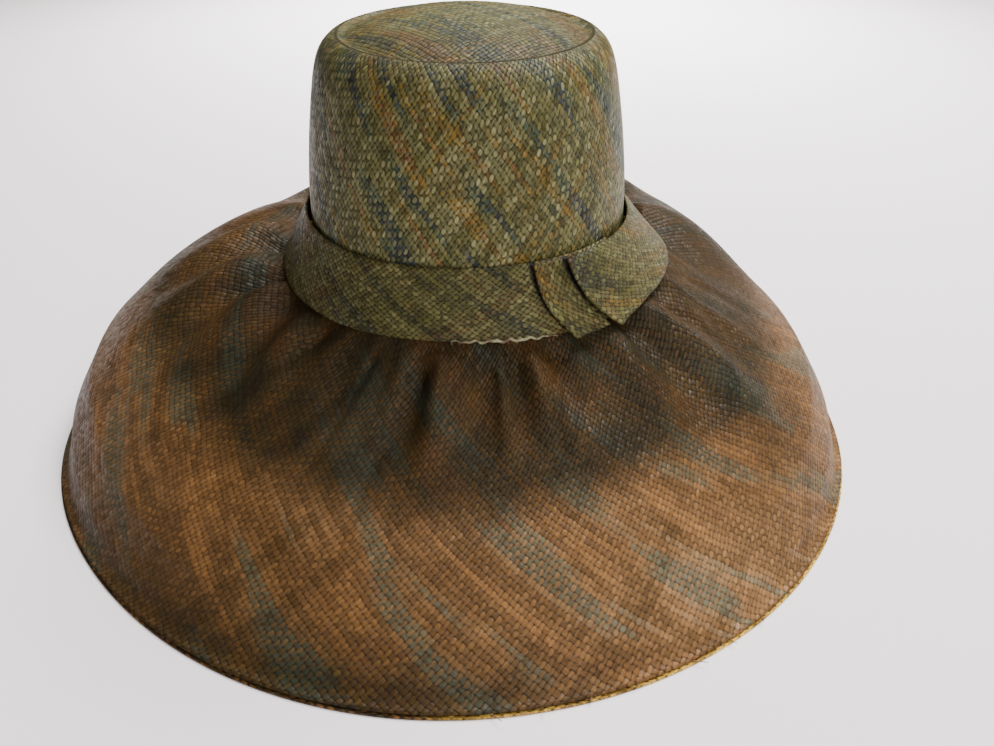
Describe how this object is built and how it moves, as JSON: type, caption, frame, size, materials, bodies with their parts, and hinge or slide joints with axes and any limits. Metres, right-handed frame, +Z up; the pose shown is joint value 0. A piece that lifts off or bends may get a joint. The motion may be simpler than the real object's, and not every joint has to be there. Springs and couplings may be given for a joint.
{
  "type": "wide-brimmed straw sun hat",
  "caption": "Wide floppy sun hat of woven straw: oval creased crown, gathered drooping brim, flared overlapping band with a slanted tab, thin rim edging.",
  "frame": {"origin": "under the middle of the rim, on the surface that the hat rests on", "axes": "+Z up out of the crown's tip, -Y towards the front of the hat, +X to the right of somebody who looks at its front"},
  "size_m": [0.4761, 0.4658, 0.2382],
  "materials": {
    "crown_straw": "woven straw strips, olive and mustard with teal and navy stripes, low gloss",
    "brim_straw": "woven straw strips, olive brown to rust and tan with grey-teal stripes, low gloss",
    "band_straw": "woven straw cut on the bias, olive green and ochre, low gloss",
    "edging_straw": "natural golden straw, low gloss"
  },
  "bodies": {
    "root": {"crown": "crown_straw", "brim": "brim_straw", "band": "band_straw", "band_tab": "band_straw", "rim_edging": "edging_straw"}
  },
  "joints": []
}
